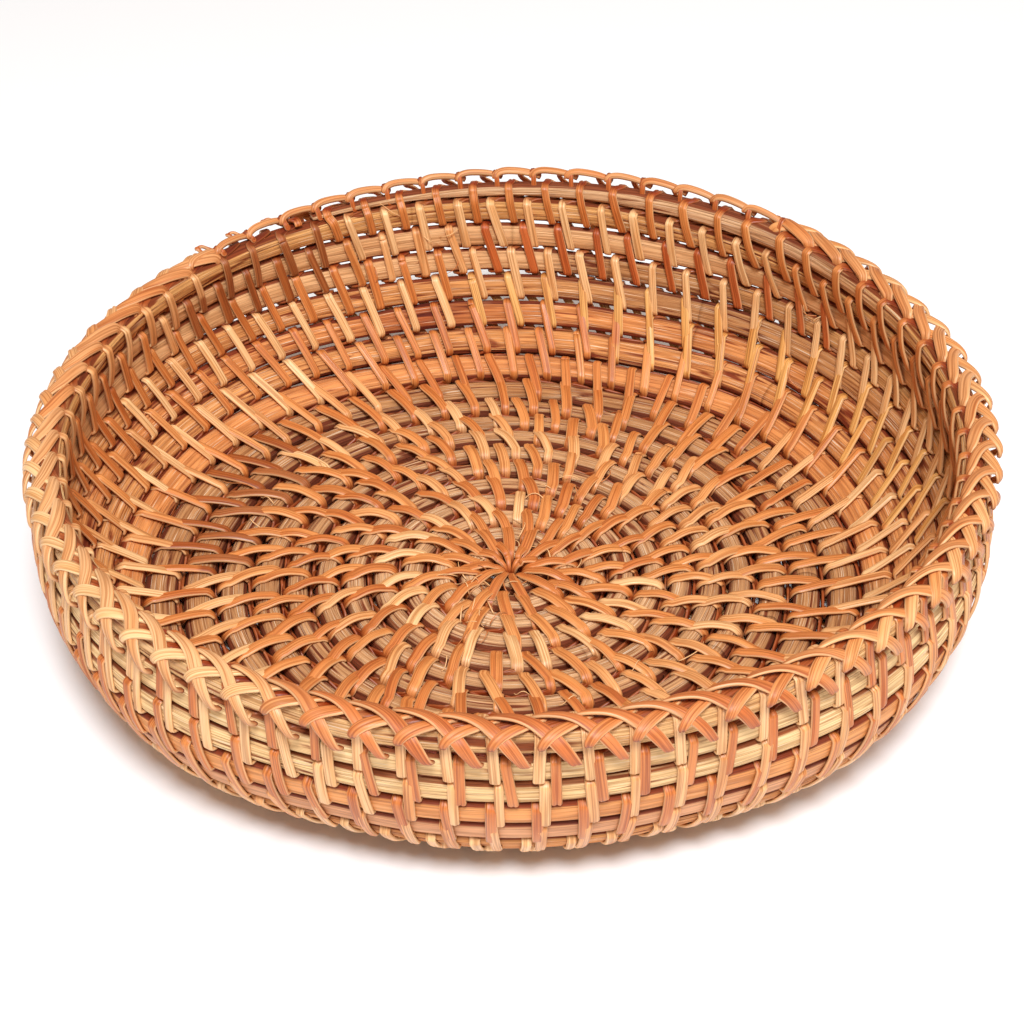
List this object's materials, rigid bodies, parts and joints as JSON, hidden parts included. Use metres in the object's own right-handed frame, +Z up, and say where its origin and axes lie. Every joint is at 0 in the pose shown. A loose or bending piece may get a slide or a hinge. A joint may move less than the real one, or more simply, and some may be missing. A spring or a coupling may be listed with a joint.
{
  "type": "coiled cane winnowing basket",
  "caption": "Shallow round coiled cane tray with a flat floor, an upright lashed wall and a plaited rim.",
  "frame": {"origin": "centre of the circle that the basket rests on, at its underside", "axes": "+Z up out of the open bowl; +X to the basket's right and +Y away from the usual viewpoint"},
  "size_m": [0.2508, 0.248, 0.0657],
  "materials": {
    "floor_rod": "matt fibrous split rattan, greyish tan with dark lines along the grain",
    "wall_rod": "fibrous split rattan and smooth cane laths, straw to orange tan",
    "lashing_cane": "glossy cane skin, honey with pale and russet runs",
    "plait_cane": "glossy cane skin, honey, pale yellow and russet"
  },
  "bodies": {
    "root": {"corner_coil_01": "wall_rod", "corner_coil_02": "wall_rod", "corner_coil_03": "wall_rod", "corner_coil_04": "wall_rod", "corner_coil_05": "wall_rod", "corner_lashing_01": "lashing_cane", "corner_lashing_02": "lashing_cane", "corner_lashing_03": "lashing_cane", "corner_lashing_04": "lashing_cane", "corner_lashing_05": "lashing_cane", "eye_knot": "lashing_cane", "floor_coil_01": "floor_rod", "floor_coil_02": "floor_rod", "floor_coil_03": "floor_rod", "floor_coil_04": "floor_rod", "floor_coil_05": "floor_rod", "floor_coil_06": "floor_rod", "floor_coil_07": "floor_rod", "floor_coil_08": "floor_rod", "floor_coil_09": "floor_rod", "floor_coil_10": "floor_rod", "floor_lashing_01": "lashing_cane", "floor_lashing_02": "lashing_cane", "floor_lashing_03": "lashing_cane", "floor_lashing_04": "lashing_cane", "floor_lashing_05": "lashing_cane", "floor_lashing_06": "lashing_cane", "floor_lashing_07": "lashing_cane", "floor_lashing_08": "lashing_cane", "floor_lashing_09": "lashing_cane", "rim_plait": "plait_cane", "wall_coil_01": "wall_rod", "wall_coil_02": "wall_rod", "wall_coil_03": "wall_rod", "wall_lashing_01": "lashing_cane", "wall_lashing_02": "lashing_cane", "wall_lashing_03": "lashing_cane"}
  },
  "joints": []
}
